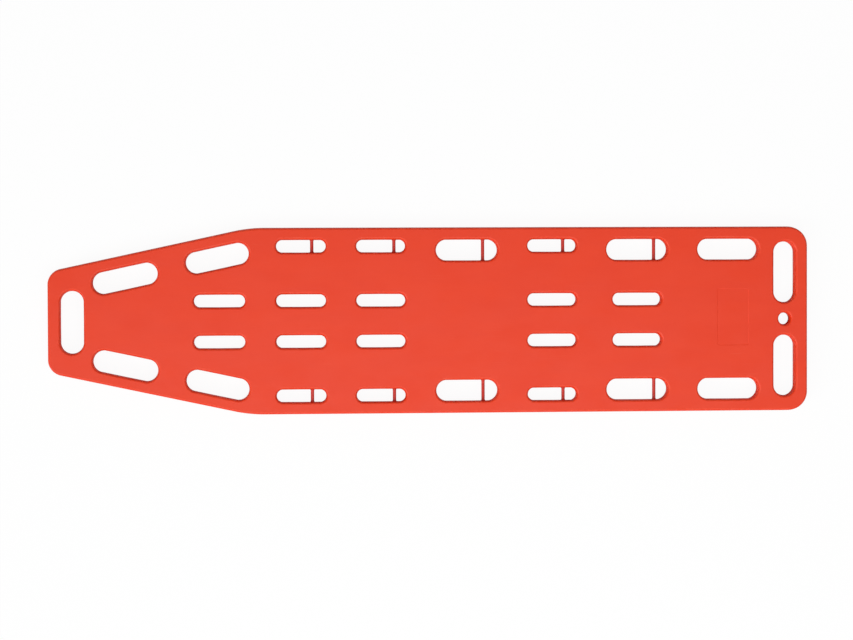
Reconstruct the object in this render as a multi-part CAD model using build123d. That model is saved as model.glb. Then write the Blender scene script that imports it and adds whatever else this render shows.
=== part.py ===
from build123d import *
from collections import namedtuple
from math import atan, cos, degrees, radians, sqrt
import os

# Spine board, in millimetres. It lies on its runners, with the origin on the floor
# under its middle, +X towards the head end, +Y to the left side and +Z up.

# Outline
board_length = 1830
board_width = 447
foot_width = 241
shoulder_radius = 300
head_corner_radius = 47
foot_corner_radius = 37

# Thickness, walls and edges
body_thickness = 36
runner_height = 9
wall = 3.5
tunnel_wall = 4.5
edge_bevel = 4

# Clearances
foam_gap = 0.3
insert_gap = 0.1

# Hand holes across the ends: how far in they lie, their rims, and the bridge between the head ones
head_hole_width = 51.5
head_hole_inset = 56.8
head_hole_rim = 36.8
head_hole_bridge = 79.7
foot_hole_width = 54
foot_hole_inset = 58.3
foot_hole_rim = 46
hanging_hole_diameter = 28

# Hand holes along the sides, with one inset from the edge to their middle line
hand_hole_length = 147.2
hand_hole_width = 50
hand_hole_inset = 54.6
calf_hole_length = 151.5
calf_hole_width = 51.2
ankle_hole_length = 155.5
ankle_hole_width = 51.8

# Strap slots in the side rows and in the two middle rows
strap_slot_width = 30
strap_slot_length = 117
thigh_slot_length = 118.6
knee_slot_length = 121.4
side_slot_inset = 44.4
middle_slot_offset = 49

# Gaps from the end holes to the first side holes, and the other stations and the start
# of the taper as shares of the way between those first holes
grip_gap = 39.2
ankle_gap = 21
shoulder_share = 0.153
chest_share = 0.2954
waist_share = 0.4376
hip_share = 0.58
thigh_share = 0.7118
taper_share = 0.7975
knee_share = 0.8461
calf_share = 0.8493

# Strap pins, each set back from the head end of its slot
pin_diameter = 8
pin_anchor_length = 6
shoulder_pin_setback = 31.2
chest_pin_setback = 31.2
waist_pin_setback = 34.3
hip_pin_setback = 26.6
thigh_pin_setback = 33.3

# Runners under the body, in the lanes between the side holes and the middle slots
runner_width = 28
runner_slope = 3
runner_ramp = 36
runner_gap = 16

# Square stiffening tubes in the foam, two in the outer lanes and two in the middle one
tube_width = 16
tube_wall = 2
tube_head_gap = 68
tube_foot_gap = 210
cap_stem_length = 12
cap_plate_thickness = 2

# Plug in the underside, in the hole that the foam goes in through
fill_plug_diameter = 26
fill_plug_reach = 3

body_bottom = runner_height
body_middle = runner_height + body_thickness / 2
body_top = runner_height + body_thickness
half_length = board_length / 2
half_width = board_width / 2
head_hole_x = half_length - head_hole_inset
foot_hole_x = foot_hole_inset - half_length
sides = {"left": 1, "right": -1}

# X of the first and last side holes, and of what lies between them
grip_x = head_hole_x - head_hole_width / 2 - grip_gap - hand_hole_length / 2
ankle_x = foot_hole_x + foot_hole_width / 2 + ankle_gap + ankle_hole_length / 2


def between_holes(share):
    """The X at a share of the way from the first side hole to the last one."""
    return grip_x + share * (ankle_x - grip_x)


taper_x = between_holes(taper_share)
taper_slope = (half_width - foot_width / 2) / (half_length + taper_x)
taper_angle = degrees(atan(taper_slope))

Slot = namedtuple("Slot", "x y length width turn")


def both_sides(slot):
    """A slot on the left side and its mirror image on the right."""
    return [slot._replace(y=side * slot.y, turn=side * slot.turn) for side in sides.values()]


def side_slot(x, length, width, inset):
    """A slot along the straight part of the left edge."""
    return Slot(x, half_width - inset, length, width, 0)


def taper_hole(x, length, width):
    """A hand hole along the tapered part of the left edge."""
    edge = half_width - (taper_x - x) * taper_slope
    y = edge - hand_hole_inset / cos(radians(taper_angle))
    return Slot(x, y, length, width, taper_angle)


def pinned_hand_hole(share):
    """A hand hole on the left side with room for a strap pin."""
    return side_slot(between_holes(share), hand_hole_length, hand_hole_width, hand_hole_inset)


def side_strap_slot(share, length):
    """A strap slot in the left side row."""
    return side_slot(between_holes(share), length, strap_slot_width, side_slot_inset)


# Slots that a strap pin crosses, on the left side, each with its pin's setback
pinned_slots = {
    "shoulder": (pinned_hand_hole(shoulder_share), shoulder_pin_setback),
    "chest": (side_strap_slot(chest_share, strap_slot_length), chest_pin_setback),
    "waist": (pinned_hand_hole(waist_share), waist_pin_setback),
    "hip": (side_strap_slot(hip_share, strap_slot_length), hip_pin_setback),
    "thigh": (side_strap_slot(thigh_share, thigh_slot_length), thigh_pin_setback),
}

# Hand holes without a pin, on the left side
head_hole_length = half_width - head_hole_rim - head_hole_bridge / 2
head_hole_y = (head_hole_bridge + head_hole_length) / 2
calf_x = between_holes(calf_share)
open_hand_holes = {
    "head": Slot(head_hole_x, head_hole_y, head_hole_length, head_hole_width, 90),
    "grip": side_slot(grip_x, hand_hole_length, hand_hole_width, hand_hole_inset),
    "calf": taper_hole(calf_x, calf_hole_length, calf_hole_width),
    "ankle": taper_hole(ankle_x, ankle_hole_length, ankle_hole_width),
}

# Strap slots in the left middle row
middle_slots = {
    name: Slot(between_holes(share), middle_slot_offset, length, strap_slot_width, 0)
    for name, share, length in (
        ("shoulder", shoulder_share, strap_slot_length),
        ("chest", chest_share, strap_slot_length),
        ("hip", hip_share, strap_slot_length),
        ("thigh", thigh_share, thigh_slot_length),
        ("knee", knee_share, knee_slot_length),
    )
}

foot_hole = Slot(foot_hole_x, 0, foot_width - 2 * foot_hole_rim, foot_hole_width, 90)
left_slots = [slot for slot, setback in pinned_slots.values()]
left_slots += [*open_hand_holes.values(), *middle_slots.values()]
slots = [foot_hole] + [slot for left in left_slots for slot in both_sides(left)]

# The lanes free of holes, where the runners and tubes lie
middle_slot_inside = middle_slot_offset - strap_slot_width / 2
middle_slot_outside = middle_slot_offset + strap_slot_width / 2
side_hole_inside = half_width - hand_hole_inset - hand_hole_width / 2
outer_lane_y = (middle_slot_outside + side_hole_inside) / 2
inner_lane_y = (middle_slot_inside - tunnel_wall) / 2
lane_head_x = head_hole_x - head_hole_width / 2 - tube_head_gap
outer_lane_foot_x = calf_x + calf_hole_length / 2 + runner_gap
inner_lane_foot_x = foot_hole_x + foot_hole_width / 2 + tube_foot_gap

# Each tube's name, with the X of its foot end and its Y
tube_rows = {}
for side, way in sides.items():
    tube_rows[f"{side}_outer"] = (outer_lane_foot_x, way * outer_lane_y)
    tube_rows[f"{side}_inner"] = (inner_lane_foot_x, way * inner_lane_y)


def outline():
    """The board's plan: straight sides that taper towards the foot, with round corners."""
    corners = [
        (half_length, half_width),
        (taper_x, half_width),
        (-half_length, foot_width / 2),
        (-half_length, -foot_width / 2),
        (taper_x, -half_width),
        (half_length, -half_width),
    ]
    plan = make_face(Polyline(corners, close=True))
    for x, radius in (
        (half_length, head_corner_radius),
        (taper_x, shoulder_radius),
        (-half_length, foot_corner_radius),
    ):
        pair = plan.vertices().filter_by(lambda corner: abs(corner.X - x) < 1e-3)
        plan = fillet(pair, radius)
    return plan


def placed(slot, plan):
    """A plan moved to a slot's middle and turned in line with it."""
    return Pos(slot.x, slot.y) * Rot(0, 0, slot.turn) * plan


def slot_plan(slot):
    """A slot's own plan, with round ends."""
    return placed(slot, SlotOverall(slot.length, slot.width))


def sleeve_plan(length, width, grow):
    """The plan behind a slot's wall: a rectangle whose cut corners clear the round ends."""
    plan = Rectangle(length + 2 * grow, width + 2 * grow)
    return chamfer(plan.vertices(), (width / 2 + grow) * (2 - sqrt(2)))


def raised(plan, low, high):
    """A plan made solid between two heights."""
    return extrude(Pos(0, 0, low) * plan, amount=high - low)


def runners(inset):
    """Both runners, with sloped sides and ramped ends, or with an inset the hollow in them."""
    length = lane_head_x - outer_lane_foot_x - 2 * inset
    width = runner_width - 2 * inset
    root = Pos(0, 0, body_bottom + inset) * Rectangle(length, width)
    tread = Pos(0, 0, inset) * Rectangle(length - 2 * runner_ramp, width - 2 * runner_slope)
    bar = loft([root, tread], ruled=True)
    x = (lane_head_x + outer_lane_foot_x) / 2
    return [Pos(x, way * outer_lane_y) * bar for way in sides.values()]


def hollow(gap):
    """The space inside the shell, smaller all round by a gap."""
    inset = wall + gap
    low = body_bottom + inset
    high = body_top - inset
    space = raised(offset(outline(), amount=-inset), low, high) + runners(inset)
    grow = tunnel_wall + gap
    sleeves = [placed(slot, sleeve_plan(slot.length, slot.width, grow)) for slot in slots]
    sleeves.append(Pos(head_hole_x, 0) * sleeve_plan(hanging_hole_diameter, hanging_hole_diameter, grow))
    return space - [raised(sleeve, low, high) for sleeve in sleeves]


def pin_place(slot, setback):
    """A strap pin's middle, at half the body's thickness."""
    return Pos(slot.x + slot.length / 2 - setback, slot.y, body_middle)


def pin_anchors(slot, gap):
    """The pin's two square ends, which run through the slot's walls into the foam."""
    side = pin_diameter + 2 * gap
    length = tunnel_wall + pin_anchor_length + gap
    reach = (slot.width + length) / 2
    return [Pos(0, way * reach, 0) * Box(side, length, side) for way in sides.values()]


def strap_pin(slot, setback):
    """A round bar across a slot, with square ends that can't turn in its walls."""
    bar = Rot(90, 0, 0) * Cylinder(pin_diameter / 2, slot.width)
    return pin_place(slot, setback) * (bar + pin_anchors(slot, 0))


def pin_sockets(gap):
    """The spaces that all the strap pins' square ends take up."""
    return [
        pin_place(slot, setback) * anchor
        for left, setback in pinned_slots.values()
        for slot in both_sides(left)
        for anchor in pin_anchors(slot, gap)
    ]


def tube_room(gap):
    """The square bars of space that the stiffening tubes and their caps fill."""
    side = tube_width + 2 * gap
    caps = 2 * (cap_plate_thickness + gap)
    return [
        Pos((lane_head_x + foot_x) / 2, y, body_middle) * Box(lane_head_x - foot_x + caps, side, side)
        for foot_x, y in tube_rows.values()
    ]


def fill_plug(gap):
    """A round plug, flush with the underside, that reaches through the wall into the foam."""
    length = wall + fill_plug_reach + gap
    disc = Cylinder(fill_plug_diameter / 2 + gap, length, align=(Align.CENTER, Align.CENTER, Align.MIN))
    return Pos(between_holes((chest_share + waist_share) / 2), 0, body_bottom) * disc


def board_shell():
    """The hollow moulding, with its tunnels, bevelled rims, runners and sockets."""
    body = raised(outline(), body_bottom, body_top)
    holes = [raised(slot_plan(slot), body_bottom, body_top) for slot in slots]
    holes.append(raised(Pos(head_hole_x, 0) * Circle(hanging_hole_diameter / 2), body_bottom, body_top))
    body = body - holes
    deck = body.faces().sort_by(Axis.Z)[-1]
    underside = body.faces().sort_by(Axis.Z)[0]
    body = chamfer(deck.edges() + underside.outer_wire().edges(), edge_bevel)
    return body + runners(0) - hollow(0) - pin_sockets(insert_gap) - fill_plug(insert_gap)


def foam_core():
    """The rigid foam that fills the shell round the tubes, pin ends and plug."""
    return hollow(foam_gap) - tube_room(foam_gap) - pin_sockets(foam_gap) - fill_plug(foam_gap)


def stiffener_tube(length):
    """A square tube along X, round its own middle."""
    bore = tube_width - 2 * tube_wall
    return Box(length, tube_width, tube_width) - Box(length, bore, bore)


def tube_cap():
    """A cap whose stem points along -X, with its plate's inner face at X = 0."""
    stem_width = tube_width - 2 * tube_wall - 2 * insert_gap
    against_plate = (Align.MAX, Align.CENTER, Align.CENTER)
    stem = Box(cap_stem_length, stem_width, stem_width, align=against_plate)
    plate = Pos(cap_plate_thickness / 2) * Box(cap_plate_thickness, tube_width, tube_width)
    return stem + plate


nodes = {"board_shell": board_shell(), "foam_core": foam_core()}
for name, (left, setback) in pinned_slots.items():
    for side, slot in zip(sides, both_sides(left)):
        nodes[f"strap_pin_{side}_{name}"] = strap_pin(slot, setback)
for name, (foot_x, y) in tube_rows.items():
    head_end = Pos(lane_head_x, y, body_middle)
    foot_end = Pos(foot_x, y, body_middle)
    middle = Pos((lane_head_x + foot_x) / 2, y, body_middle)
    nodes[f"stiffener_tube_{name}"] = middle * stiffener_tube(lane_head_x - foot_x)
    nodes[f"tube_cap_head_{name}"] = head_end * tube_cap()
    nodes[f"tube_cap_foot_{name}"] = foot_end * Rot(0, 0, 180) * tube_cap()
nodes["foam_fill_plug"] = fill_plug(0)

os.makedirs("parts", exist_ok=True)
for name, node in nodes.items():
    node.label = name
    export_step(node, f"parts/{name}.step")
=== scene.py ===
from math import cos, pi, radians, sin, tan

import bmesh
import bpy
from mathutils import Matrix, Vector


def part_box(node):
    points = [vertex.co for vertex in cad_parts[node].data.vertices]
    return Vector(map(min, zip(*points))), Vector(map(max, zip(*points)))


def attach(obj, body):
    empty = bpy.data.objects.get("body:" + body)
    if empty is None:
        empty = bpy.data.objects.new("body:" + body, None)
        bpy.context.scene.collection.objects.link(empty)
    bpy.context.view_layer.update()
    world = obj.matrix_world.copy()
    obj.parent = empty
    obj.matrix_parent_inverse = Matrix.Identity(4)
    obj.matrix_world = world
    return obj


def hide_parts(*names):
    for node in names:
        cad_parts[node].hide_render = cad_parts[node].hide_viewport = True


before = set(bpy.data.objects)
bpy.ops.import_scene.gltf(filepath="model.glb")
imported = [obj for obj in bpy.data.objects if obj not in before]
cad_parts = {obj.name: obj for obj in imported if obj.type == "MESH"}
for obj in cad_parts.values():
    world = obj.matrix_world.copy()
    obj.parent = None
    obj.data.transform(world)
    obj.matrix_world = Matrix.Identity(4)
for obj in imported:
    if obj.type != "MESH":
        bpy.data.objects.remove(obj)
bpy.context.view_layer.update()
scene = bpy.context.scene
scene.view_settings.view_transform = "Standard"

# The board's sizes in millimetres, with its head end towards +X and its left side towards +Y
MM = 0.001
half_length = 915
half_width = 223.5
half_foot_width = 120.5
taper_x = -437.2
taper_turn = 12.165
head_corner_radius = 47
foot_corner_radius = 37
shoulder_radius = 300
body_bottom = 9
body_middle = 27
body_top = 45
wall = 3.5
tunnel_wall = 4.5

# Stations of the holes along X, and their rows along Y
head_x = 858.2
grip_x = 719.7
shoulder_x = 497.7
chest_x = 291.1
waist_x = 84.9
hip_x = -121.7
thigh_x = -312.9
knee_x = -507.7
calf_x = -512.3
ankle_x = -731.0
foot_x = -856.7
head_row = 113.3
hand_row = 168.9
strap_row = 179.1
calf_row = 151.4
ankle_row = 104.3
middle_row = 49.0

# Lengths and widths of the holes
hand_size = (147.2, 50.0)
strap_size = (117.0, 30.0)
thigh_size = (118.6, 30.0)
knee_size = (121.4, 30.0)
head_size = (146.9, 51.5)
calf_size = (151.5, 51.2)
ankle_size = (155.5, 51.8)
foot_size = (149.0, 54.0)
hanging_size = (28.0, 28.0)

# Holes on the left side: X and Y of the middle, length, width and turn in degrees
left_holes = [
    (head_x, head_row, *head_size, 90.0),
    (grip_x, hand_row, *hand_size, 0.0),
    (shoulder_x, hand_row, *hand_size, 0.0),
    (chest_x, strap_row, *strap_size, 0.0),
    (waist_x, hand_row, *hand_size, 0.0),
    (hip_x, strap_row, *strap_size, 0.0),
    (thigh_x, strap_row, *thigh_size, 0.0),
    (calf_x, calf_row, *calf_size, taper_turn),
    (ankle_x, ankle_row, *ankle_size, taper_turn),
    (shoulder_x, middle_row, *strap_size, 0.0),
    (chest_x, middle_row, *strap_size, 0.0),
    (hip_x, middle_row, *strap_size, 0.0),
    (thigh_x, middle_row, *thigh_size, 0.0),
    (knee_x, middle_row, *knee_size, 0.0),
]
foot_hole = (foot_x, 0.0, *foot_size, 90.0)
hanging_hole = (head_x, 0.0, *hanging_size, 0.0)
holes = [foot_hole, hanging_hole, *left_holes]
holes += [(x, -y, length, width, -turn) for x, y, length, width, turn in left_holes]

# How finely round stretches are divided
wide_hole = 40
wide_hole_arcs = 50
narrow_hole_arcs = 34
ring_segments = 40
degrees_a_segment = 6
least_segments = 6

# Runners under the board and the label recess on it, as X and Y of the middle, length and width
runner_x = 171.9
runner_y = 104
runner_size = (1202, 32)
runners = [(runner_x, way * runner_y, *runner_size) for way in (1, -1)]
runner_corner = 12
label_recess = (731, 5, 78, 138)
label_corner = 5

# The plug in the underside and the bars across the slots
plug_x = 188
plug_radius = 13
plug_seat_gap = 0.6
bar_radius = 4.0
bar_anchor = 6
root_radius = 6.2

# A raised or sunk form's section from its root: side step, further step at the ends, rise
runner_section = [
    (1.2, 4.0, 0.25), (0.8, 3.0, 0.65), (1.0, 14.0, 3.0), (1.1, 14.0, 3.3), (0.5, 4.0, 1.1),
    (0.9, 4.0, 0.55), (1.3, 4.0, 0.15),
]
hollow_runner_section = [(0.5, 4.0, 2.0), (2.0, 24.0, 5.5), (1.0, 4.0, 1.0)]
label_section = [(0.4, 0.0, -0.08), (0.5, 0.0, -0.34), (0.4, 0.0, -0.08)]
plug_seat_section = [(0.35, 0.0, -0.15), (0.15, 0.0, -0.5), (0.0, 0.0, -2.4)]

# A hollow runner's plan is smaller than the runner's by two walls and its ramps
hollow_runner_shorter = 24
hollow_runner_narrower = 12
hollow_runner_corner = 6

# Rims: the draft of a wall, the radius over it, the bead on the parting line
rim_draft = 0.9
top_radius = 5
bottom_radius = 4
hollow_radius = 2
bead = [(0.0, 0.45), (0.35, 0.3)]
flat_ring = (1.2, 0.0)
wear_share = 1.6

# The least step of an inset, the distance of points that weld, and how level a flat face is
least_inset = 0.001
weld_distance = 0.002
level = 0.99999


def rounding(radius, steps):
    """Steps inwards and upwards round a quarter circle, from a wall to a flat face."""
    turns = [pi / 2 * step / steps for step in range(steps + 1)]
    return [
        (radius * (cos(a) - cos(b)), radius * (sin(b) - sin(a)))
        for a, b in zip(turns, turns[1:])
    ]


def rim_section(height, radius, steps):
    """A rim's section from the bead on the parting line, up its wall and over its rounding."""
    straight = height - radius - sum(rise for inwards, rise in bead)
    return [*bead, (rim_draft, straight), *rounding(radius, steps), flat_ring]


top_section = rim_section(body_top - body_middle, top_radius, 6)
bottom_section = rim_section(body_middle - body_bottom, bottom_radius, 5)
hollow_height = body_middle - body_bottom - wall
hollow_wall = (least_inset, hollow_height - hollow_radius)
hollow_section = [hollow_wall, *rounding(hollow_radius, 2)]


def shift(bm, verts, x=0.0, y=0.0, z=0.0):
    """Moves points by a distance in millimetres."""
    bmesh.ops.translate(bm, verts=verts, vec=(x * MM, y * MM, z * MM))


def stadium(bm, x, y, length, width, turn):
    """The edges round a slot with round ends."""
    arcs = wide_hole_arcs if width > wide_hole else narrow_hole_arcs
    verts = bmesh.ops.create_circle(bm, segments=arcs, radius=width / 2 * MM)["verts"]
    reach = (length - width) / 2
    shift(bm, [vert for vert in verts if vert.co.x > 0], reach)
    shift(bm, [vert for vert in verts if vert.co.x < 0], -reach)
    bmesh.ops.rotate(bm, verts=verts, matrix=Matrix.Rotation(radians(turn), 3, "Z"))
    shift(bm, verts, x, y)
    return {edge for vert in verts for edge in vert.link_edges}


def rounded_polygon(bm, corners):
    """The edges round a polygon of (x, y, radius, turn in degrees) corners, with round corners."""
    verts = [bm.verts.new((x * MM, y * MM, 0)) for x, y, radius, turn in corners]
    edges = [bm.edges.new(pair) for pair in zip(verts, verts[1:] + verts[:1])]
    bmesh.ops.contextual_create(bm, geom=edges)
    for vert, (x, y, radius, turn) in zip(verts, corners):
        bmesh.ops.bevel(
            bm, geom=[vert], offset=radius * tan(radians(turn) / 2) * MM, affect="VERTICES",
            segments=max(least_segments, int(turn / degrees_a_segment)), profile=0.5,
            material=-1,
        )
    face = next(face for face in bm.faces)
    edges = set(face.edges)
    bmesh.ops.delete(bm, geom=[face], context="FACES_ONLY")
    return edges


def board_corners():
    """The corners of the board's plan."""
    foot_turn = 90 - taper_turn
    left = [
        (half_length, half_width, head_corner_radius, 90),
        (taper_x, half_width, shoulder_radius, taper_turn),
        (-half_length, half_foot_width, foot_corner_radius, foot_turn),
    ]
    return left + [(x, -y, radius, turn) for x, y, radius, turn in reversed(left)]


def rectangle_corners(x, y, length, width, radius):
    """The corners of a rectangle round a point."""
    signs = [(1, 1), (-1, 1), (-1, -1), (1, -1)]
    return [(x + a * length / 2, y + b * width / 2, radius, 90) for a, b in signs]


def raise_face(bm, face, middle_x, section):
    """Steps a face in from its edges and up or down, as its section says."""
    for inwards, ramp, rise in section:
        bmesh.ops.inset_region(
            bm, faces=[face], thickness=max(inwards, least_inset) * MM, use_boundary=True,
            use_even_offset=True,
        )
        reach = max(abs(vert.co.x - middle_x * MM) for vert in face.verts)
        share = 1 - ramp * MM / reach
        bmesh.ops.scale(
            bm, verts=list(face.verts), vec=(share, 1, 1),
            space=Matrix.Translation((-middle_x * MM, 0, 0)),
        )
        shift(bm, list(face.verts), z=rise)


def half_skin(section, islands, start=0.0):
    """One half of a skin, from the parting line up: the rims of the outline and all the holes,
    and a flat face on top with islands, which are (corners or circle, middle X, section)."""
    bm = bmesh.new()
    worn = bm.verts.layers.float.new("wear")
    edges = rounded_polygon(bm, board_corners())
    for hole in holes:
        edges |= stadium(bm, *hole)
    rings = []
    for plan, middle_x, island_section in islands:
        ring = rounded_polygon(bm, plan) if isinstance(plan, list) else stadium(bm, *plan)
        rings.append((ring, middle_x, island_section))
        edges |= ring
    bmesh.ops.triangle_fill(bm, use_beauty=True, edges=list(edges), normal=(0, 0, 1))
    raised = []
    for ring, middle_x, island_section in rings:
        face = bmesh.ops.contextual_create(bm, geom=list(ring))["faces"][0]
        raised.append((face, middle_x, island_section))
    top = list(bm.faces)
    for face in top:
        if face.normal.z < 0:
            face.normal_flip()
    if start:
        collar = bmesh.ops.inset_region(
            bm, faces=top, thickness=start * MM, use_boundary=True, use_even_offset=True
        )["faces"]
        bmesh.ops.delete(bm, geom=collar, context="FACES")
    first_round = len(bead) + 1
    for step, (inwards, rise) in enumerate(section):
        bmesh.ops.inset_region(
            bm, faces=top, thickness=max(inwards, least_inset) * MM, use_boundary=True,
            use_even_offset=True,
        )
        verts = list({vert for face in top for vert in face.verts})
        shift(bm, verts, z=rise)
        rounded = first_round <= step < len(section) - 1
        exposure = min(1.0, inwards * rise * wear_share) if rounded else 0.0
        for vert in verts:
            vert[worn] = exposure
    for face, middle_x, island_section in raised:
        raise_face(bm, face, middle_x, island_section)
    return bm


def skin(upper, lower, upper_islands, lower_islands, start=0.0):
    """A closed skin of two halves that meet at the parting line."""
    whole = bmesh.new()
    whole.verts.layers.float.new("wear")
    halves = [(1, upper, upper_islands), (-1, lower, lower_islands)]
    for way, section, islands in halves:
        half = half_skin(section, islands, start)
        bmesh.ops.scale(half, verts=half.verts, vec=(1, 1, way))
        if way < 0:
            bmesh.ops.reverse_faces(half, faces=half.faces)
        shift(half, half.verts, z=body_middle)
        mesh = bpy.data.meshes.new("half")
        half.to_mesh(mesh)
        half.free()
        whole.from_mesh(mesh)
        bpy.data.meshes.remove(mesh)
    bmesh.ops.remove_doubles(whole, verts=whole.verts, dist=weld_distance * MM)
    return whole


def finish_piece(bm, name, nodes, material):
    """A finished piece that stands for CAD nodes."""
    mesh = bpy.data.meshes.new(name)
    bm.to_mesh(mesh)
    bm.free()
    for polygon in mesh.polygons:
        polygon.use_smooth = abs(polygon.normal.z) < level
    mesh.materials.append(material)
    piece = bpy.data.objects.new(name, mesh)
    scene.collection.objects.link(piece)
    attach(piece, "root")
    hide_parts(*nodes)
    return piece


# Materials
def add(tree, kind, inputs=None, **settings):
    """A node with its settings, and its inputs either linked from a socket or set."""
    node = tree.nodes.new(kind)
    for key, value in settings.items():
        setattr(node, key, value)
    for key, value in (inputs or {}).items():
        if isinstance(value, bpy.types.NodeSocket):
            tree.links.new(value, node.inputs[key])
        else:
            node.inputs[key].default_value = value
    return node


def group(name, inputs, outputs):
    """A new shader node group with its sockets, and its input and output nodes."""
    tree = bpy.data.node_groups.new(name, "ShaderNodeTree")
    for socket, (kind, value) in inputs.items():
        made = tree.interface.new_socket(socket, in_out="INPUT", socket_type=kind)
        if value is not None:
            made.default_value = value
    for socket in outputs:
        tree.interface.new_socket(socket, in_out="OUTPUT", socket_type="NodeSocketFloat")
    return tree, tree.nodes.new("NodeGroupInput"), tree.nodes.new("NodeGroupOutput")


def ramp(tree, value, low, high):
    """A value's share of the way from low to high, kept between 0 and 1."""
    inputs = {"Value": value, "From Min": low, "From Max": high}
    return add(tree, "ShaderNodeMapRange", inputs, interpolation_type="SMOOTHSTEP").outputs[0]


def maths(tree, operation, a, b):
    """The result of a sum on two values, which are sockets or numbers."""
    return add(tree, "ShaderNodeMath", {0: a, 1: b}, operation=operation).outputs[0]


def noise(tree, vector, scale, detail=2.0, roughness=0.5):
    inputs = {"Vector": vector, "Scale": scale, "Detail": detail, "Roughness": roughness}
    return add(tree, "ShaderNodeTexNoise", inputs).outputs["Fac"]


def stretched(tree, vector, scale, turn=0.0):
    """Coordinates that are turned about Z and stretched."""
    inputs = {"Vector": vector, "Rotation": (0, 0, turn), "Scale": scale}
    return add(tree, "ShaderNodeMapping", inputs).outputs[0]


VECTOR = ("NodeSocketVector", None)


def moulded_grain():
    """Fine pebbled grain, soft flow marks and a large slow unevenness of moulded plastic."""
    inputs = {"Vector": VECTOR, "Grain Size": ("NodeSocketFloat", 900.0)}
    tree, source, sink = group("moulded grain", inputs, ["Grain", "Flow", "Waves"])
    at = source.outputs["Vector"]
    size = source.outputs["Grain Size"]
    pebble = add(
        tree, "ShaderNodeTexVoronoi", {"Vector": at, "Scale": size, "Randomness": 1.0},
        feature="SMOOTH_F1",
    ).outputs["Distance"]
    fine = noise(tree, at, maths(tree, "MULTIPLY", size, 1.9), 3.0, 0.6)
    pebble_part = maths(tree, "MULTIPLY", pebble, 0.6)
    fine_part = maths(tree, "MULTIPLY", fine, 0.5)
    grain = maths(tree, "ADD", pebble_part, fine_part)
    along_board = stretched(tree, at, (3.0, 9.0, 9.0))
    tree.links.new(grain, sink.inputs["Grain"])
    tree.links.new(noise(tree, along_board, 2.2, 5.0, 0.62), sink.inputs["Flow"])
    tree.links.new(noise(tree, at, 14.0, 1.0), sink.inputs["Waves"])
    return tree


def scuffs():
    """Fine scratches along and across a piece, in patches."""
    inputs = {"Vector": VECTOR, "Amount": ("NodeSocketFloat", 0.5)}
    tree, source, sink = group("scuffs", inputs, ["Mask", "Smudge"])
    at = source.outputs["Vector"]
    masks = []
    for turn, along, across in ((0.06, 4.0, 420.0), (-0.35, 7.0, 520.0), (1.35, 9.0, 480.0)):
        lines = noise(tree, stretched(tree, at, (along, across, across), turn), 1.0, 2.0, 0.7)
        masks.append(ramp(tree, lines, 0.67, 0.74))
    lines = maths(tree, "MAXIMUM", maths(tree, "MAXIMUM", masks[0], masks[1]), masks[2])
    patches = ramp(tree, noise(tree, at, 9.0, 3.0, 0.6), 0.46, 0.7)
    patched = maths(tree, "MULTIPLY", lines, patches)
    mask = maths(tree, "MULTIPLY", patched, source.outputs["Amount"])
    wiped = stretched(tree, at, (6.0, 10.0, 10.0), 0.4)
    smudge = ramp(tree, noise(tree, wiped, 1.6, 5.0, 0.65), 0.35, 0.75)
    tree.links.new(mask, sink.inputs["Mask"])
    tree.links.new(smudge, sink.inputs["Smudge"])
    return tree


grain_group = moulded_grain()
scuff_group = scuffs()


def material(name, colour, specular=0.3):
    """A new material with its Principled BSDF, and the piece's own Object coordinates."""
    made = bpy.data.materials.new(name)
    made.use_nodes = True
    tree = made.node_tree
    shader = tree.nodes["Principled BSDF"]
    shader.inputs["Specular IOR Level"].default_value = specular
    made.diffuse_color = (*colour, 1)
    at = add(tree, "ShaderNodeTexCoord").outputs["Object"]
    return made, tree, shader, at


def blend_colours(tree, factor, first, second):
    """A mix of two colours, which are sockets or plain numbers."""
    node = add(tree, "ShaderNodeMix", data_type="RGBA")
    for key, value in (("Factor", factor), ("A", first), ("B", second)):
        socket = next(s for s in node.inputs if s.name == key and s.type in ("RGBA", "VALUE")
                      and (s.type == "VALUE") == (key == "Factor"))
        if isinstance(value, bpy.types.NodeSocket):
            tree.links.new(value, socket)
        elif key == "Factor":
            socket.default_value = value
        else:
            socket.default_value = (*value, 1)
    return next(s for s in node.outputs if s.type == "RGBA")


def bumped(tree, shader, layers):
    """Bumps one over another, each as (height, depth in millimetres)."""
    normal = None
    for height, depth in layers:
        inputs = {"Height": height, "Distance": depth * MM, "Strength": 1.0}
        if normal is not None:
            inputs["Normal"] = normal
        normal = add(tree, "ShaderNodeBump", inputs).outputs["Normal"]
    tree.links.new(normal, shader.inputs["Normal"])


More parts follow.
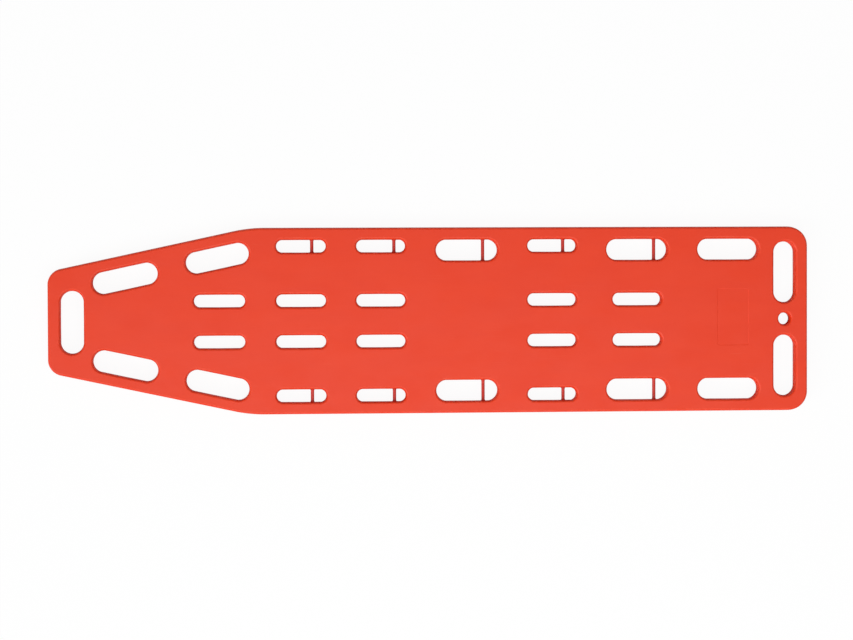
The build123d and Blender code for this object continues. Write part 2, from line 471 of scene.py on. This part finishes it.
def coloured_plastic(
    name, colour, light, dark, gloss, grain_size, grain_depth, scuffed, worn=0.0
):
    """Moulded plastic, coloured through, with grain, flow marks, scuffs and worn rims."""
    made, tree, shader, at = material(name, colour)
    grain = add(tree, "ShaderNodeGroup", node_tree=grain_group)
    tree.links.new(at, grain.inputs["Vector"])
    grain.inputs["Grain Size"].default_value = grain_size
    marks = add(tree, "ShaderNodeGroup", node_tree=scuff_group)
    tree.links.new(at, marks.inputs["Vector"])
    marks.inputs["Amount"].default_value = scuffed
    flow = ramp(tree, grain.outputs["Flow"], 0.3, 0.7)
    body = blend_colours(tree, flow, dark, colour)
    body = blend_colours(tree, maths(tree, "MULTIPLY", marks.outputs["Mask"], 0.6), body, light)
    rubbed = marks.outputs["Smudge"]
    if worn:
        edge = add(tree, "ShaderNodeAttribute", attribute_name="wear").outputs["Fac"]
        uneven = ramp(tree, noise(tree, at, 38.0, 4.0, 0.7), 0.4, 0.75)
        rubbed_edge = maths(tree, "MULTIPLY", edge, uneven)
        body = blend_colours(tree, maths(tree, "MULTIPLY", rubbed_edge, worn), body, light)
    tree.links.new(body, shader.inputs["Base Color"])
    shine = maths(tree, "MULTIPLY_ADD", rubbed, 0.1)
    shine.node.inputs[2].default_value = gloss
    shine = maths(tree, "ADD", shine, maths(tree, "MULTIPLY", marks.outputs["Mask"], 0.15))
    tree.links.new(shine, shader.inputs["Roughness"])
    bumped(tree, shader, [
        (grain.outputs["Waves"], 0.35),
        (grain.outputs["Grain"], grain_depth),
        (marks.outputs["Mask"], -0.02),
    ])
    return made


shell_plastic = coloured_plastic(
    "orange red moulded plastic", colour=(0.78, 0.043, 0.007), light=(0.8, 0.12, 0.06),
    dark=(0.76, 0.04, 0.007), gloss=0.4, grain_size=700.0, grain_depth=0.11, scuffed=0.5,
    worn=0.25,
)
# Painted shade: the bars are the shell's red, painted darker for the shade they lie in down in the
# slots
pin_plastic_painted_shade = coloured_plastic(
    "red pin plastic darkened as painted shade", colour=(0.52, 0.03, 0.018), light=(0.66, 0.12, 0.08),
    dark=(0.45, 0.024, 0.014), gloss=0.34, grain_size=1500.0, grain_depth=0.02, scuffed=0.3,
)
plug_plastic = coloured_plastic(
    "red plug plastic", colour=(0.7, 0.045, 0.022), light=(0.8, 0.17, 0.11),
    dark=(0.6, 0.036, 0.018), gloss=0.42, grain_size=1200.0, grain_depth=0.03, scuffed=0.5,
)


def foam_material():
    """Rigid cream foam, with closed cells of many sizes and a yellowed skin."""
    made, tree, shader, at = material("rigid foam", (0.85, 0.8, 0.62))
    cells = add(
        tree, "ShaderNodeTexVoronoi", {"Vector": at, "Scale": 520.0}, feature="F1"
    ).outputs["Distance"]
    pores = ramp(tree, noise(tree, at, 150.0, 4.0, 0.7), 0.62, 0.72)
    aged = ramp(tree, noise(tree, at, 7.0, 4.0), 0.35, 0.7)
    body = blend_colours(tree, aged, (0.86, 0.81, 0.64), (0.8, 0.68, 0.42))
    body = blend_colours(tree, maths(tree, "MULTIPLY", pores, 0.5), body, (0.55, 0.46, 0.28))
    tree.links.new(body, shader.inputs["Base Color"])
    tree.links.new(ramp(tree, cells, -1.5, 0.9), shader.inputs["Roughness"])
    bumped(tree, shader, [(cells, 0.6), (pores, -0.5)])
    return made


def tube_material():
    """Dark pultruded composite with fine fibres along X."""
    made, tree, shader, at = material("pultruded composite", (0.05, 0.05, 0.055))
    fibres = noise(tree, stretched(tree, at, (6.0, 900.0, 900.0)), 1.0, 3.0, 0.7)
    bands = ramp(tree, fibres, 0.35, 0.7)
    body = blend_colours(tree, bands, (0.035, 0.035, 0.04), (0.085, 0.085, 0.09))
    tree.links.new(body, shader.inputs["Base Color"])
    tree.links.new(ramp(tree, fibres, 1.4, -0.3), shader.inputs["Roughness"])
    bumped(tree, shader, [(fibres, 0.08)])
    return made


cap_plastic = coloured_plastic(
    "black cap plastic", colour=(0.1, 0.1, 0.1), light=(0.22, 0.22, 0.22),
    dark=(0.08, 0.08, 0.08), gloss=0.5, grain_size=1400.0, grain_depth=0.03, scuffed=0.4,
)

# The shell: an outer skin with a hollow in it
top_islands = [(rectangle_corners(*label_recess, label_corner), label_recess[0], label_section)]
bottom_islands = [
    (rectangle_corners(*runner, runner_corner), runner[0], runner_section) for runner in runners
]
plug_seat_width = 2 * (plug_radius + plug_seat_gap)
plug_seat = (plug_x, 0, plug_seat_width, plug_seat_width, 0)
bottom_islands.append((plug_seat, plug_x, plug_seat_section))
shell = skin(top_section, bottom_section, top_islands, bottom_islands)
hollow_islands = []
for x, y, length, width in runners:
    plan = rectangle_corners(
        x, y, length - hollow_runner_shorter, width - hollow_runner_narrower, hollow_runner_corner
    )
    hollow_islands.append((plan, x, hollow_runner_section))
hollow = skin(hollow_section, hollow_section, [], hollow_islands, tunnel_wall)
bmesh.ops.reverse_faces(hollow, faces=hollow.faces)
lining = bpy.data.meshes.new("lining")
hollow.to_mesh(lining)
hollow.free()
shell.from_mesh(lining)
bpy.data.meshes.remove(lining)
finish_piece(shell, "shell_moulding", ["board_shell"], shell_plastic)


def ring(bm, place, radius, turn, square=False):
    """The edges of a ring round a line through the origin, bent into a square if it says so."""
    verts = bmesh.ops.create_circle(bm, segments=ring_segments, radius=radius * MM)["verts"]
    if square:
        for vert in verts:
            vert.co *= radius * MM / max(abs(vert.co.x), abs(vert.co.y))
    shift(bm, verts, z=place)
    bmesh.ops.rotate(bm, verts=verts, matrix=turn)
    return list({edge for vert in verts for edge in vert.link_edges})


def turned(section, turn):
    """A closed piece lofted through rings, each of (place along the line, radius, square)."""
    bm = bmesh.new()
    rings = [ring(bm, place, radius, turn, square) for place, radius, square in section]
    for near, far in zip(rings, rings[1:]):
        bmesh.ops.bridge_loops(bm, edges=near + far)
    for end in (rings[0], rings[-1]):
        bmesh.ops.contextual_create(bm, geom=end)
    bmesh.ops.recalc_face_normals(bm, faces=bm.faces)
    return bm


# The bars across the slots, with a flared root at each wall and square ends in the walls
along_y = Matrix.Rotation(pi / 2, 3, "X")
for name in sorted(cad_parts):
    if not name.startswith("strap_pin_"):
        continue
    low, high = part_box(name)
    place = (low + high) / 2 / MM
    reach = (high.y - low.y) / 2 / MM
    face = reach - tunnel_wall - bar_anchor
    half = [
        (0.15, bar_radius, False), (face - 4.0, bar_radius, False), (face - 2.4, 4.15, False),
        (face - 1.2, 4.6, False), (face - 0.4, 5.3, False), (face + 0.4, root_radius, False),
        (face + 1.2, root_radius, False), (face + 1.2, bar_radius, True),
        (reach - 0.6, bar_radius, True), (reach, 3.4, True),
    ]
    section = [(-y, radius, square) for y, radius, square in reversed(half)] + half
    bar = turned(section, along_y)
    shift(bar, bar.verts, *place)
    # The bars' darker red is painted shade, not a different plastic
    finish_piece(bar, name.replace("strap_pin", "strap_bar"), [name], pin_plastic_painted_shade)

# The plug in the underside, with a rim, a groove and a dished middle
plug_low, plug_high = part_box("foam_fill_plug")
plug_depth = (plug_high.z - plug_low.z) / MM
plug_section = [
    (plug_depth, 12.2, False), (plug_depth - 0.8, plug_radius, False), (0.9, plug_radius, False),
    (0.25, 12.75, False), (0.0, 12.1, False), (0.0, 10.2, False), (0.7, 9.6, False),
    (0.7, 8.6, False), (0.1, 8.0, False), (0.1, 7.2, False), (0.55, 4.0, False),
    (0.7, 1.5, False),
]
plug = turned(plug_section, Matrix.Identity(3))
shift(plug, plug.verts, plug_x, 0, plug_low.z / MM)
finish_piece(plug, "fill_hole_plug", ["foam_fill_plug"], plug_plastic)

# The pieces inside keep their CAD meshes
inside = {
    "foam_core": foam_material(), "stiffener_tube": tube_material(), "tube_cap": cap_plastic,
}
for name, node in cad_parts.items():
    for start, finish in inside.items():
        if name.startswith(start):
            node.data.materials.clear()
            node.data.materials.append(finish)

# The studio, in metres and watts: a pale floor, a white background and two soft lights
floor_reach = 30
floor_drop = 0.0002
floor_glow = 0.94
ambient = 0.28
camera_lens = 92.85
camera_place = (-0.3748, 0.1225, 5.3089)
camera_turn = (-1.301, -3.936, -0.23)

floor_mesh = bpy.data.meshes.new("floor")
floor_bm = bmesh.new()
bmesh.ops.create_grid(floor_bm, x_segments=1, y_segments=1, size=floor_reach)
floor_bm.to_mesh(floor_mesh)
floor_bm.free()
floor = bpy.data.objects.new("floor", floor_mesh)
scene.collection.objects.link(floor)
floor.location.z = -floor_drop


def floor_material():
    """Matt white paint, which glows white to the camera alone and is clear from below."""
    made = bpy.data.materials.new("pale floor")
    made.use_nodes = True
    tree = made.node_tree
    paint = tree.nodes["Principled BSDF"]
    paint.inputs["Base Color"].default_value = (0.9, 0.9, 0.9, 1)
    paint.inputs["Roughness"].default_value = 0.9
    paint.inputs["Specular IOR Level"].default_value = 0.1
    glow = add(tree, "ShaderNodeEmission", {"Strength": 1.0}).outputs[0]
    rays = add(tree, "ShaderNodeLightPath").outputs
    seen = maths(tree, "MULTIPLY", rays["Is Camera Ray"], floor_glow)
    top = add(tree, "ShaderNodeMixShader", {0: seen, 1: paint.outputs[0], 2: glow}).outputs[0]
    below = add(tree, "ShaderNodeNewGeometry").outputs["Backfacing"]
    clear = add(tree, "ShaderNodeBsdfTransparent").outputs[0]
    either = add(tree, "ShaderNodeMixShader", {0: below, 1: top, 2: clear}).outputs[0]
    tree.links.new(either, tree.nodes["Material Output"].inputs["Surface"])
    return made


floor_mesh.materials.append(floor_material())

world = bpy.data.worlds.new("studio")
scene.world = world
world.use_nodes = True
tree = world.node_tree
rays = add(tree, "ShaderNodeLightPath").outputs
seen = maths(tree, "MAXIMUM", rays["Is Camera Ray"], rays["Is Transmission Ray"])
seen = maths(tree, "MAXIMUM", seen, rays["Is Glossy Ray"])
inputs = {"Value": seen, "To Min": ambient, "To Max": 1.0}
brightness = add(tree, "ShaderNodeMapRange", inputs).outputs[0]
tree.links.new(brightness, tree.nodes["Background"].inputs["Strength"])
tree.nodes["Background"].inputs["Color"].default_value = (1, 1, 1, 1)

overhead_place = Vector((-0.05, -1.6, 3.6))
overhead_target = Vector((0, -0.3, 0))
overhead_light = bpy.data.lights.new("overhead", "AREA")
overhead_light.shape = "RECTANGLE"
overhead_light.size = 4.6
overhead_light.size_y = 3.4
overhead_light.energy = 119
overhead = bpy.data.objects.new("overhead", overhead_light)
overhead.location = overhead_place
aim = (overhead_target - overhead_place).to_track_quat("-Z", "Y")
overhead.rotation_euler = aim.to_euler()
overhead.visible_camera = False
scene.collection.objects.link(overhead)

towards_side = Vector((-0.8, -0.45, 0.5))
side_light = bpy.data.lights.new("side", "SUN")
side_light.energy = 1.2
side_light.angle = radians(30)
side = bpy.data.objects.new("side", side_light)
side.rotation_euler = towards_side.to_track_quat("Z", "Y").to_euler()
scene.collection.objects.link(side)

camera_data = bpy.data.cameras.new("camera")
camera_data.sensor_width = 36
camera_data.lens = camera_lens
camera = bpy.data.objects.new("camera", camera_data)
camera.location = camera_place
camera.rotation_euler = [radians(turn) for turn in camera_turn]
scene.collection.objects.link(camera)
scene.camera = camera
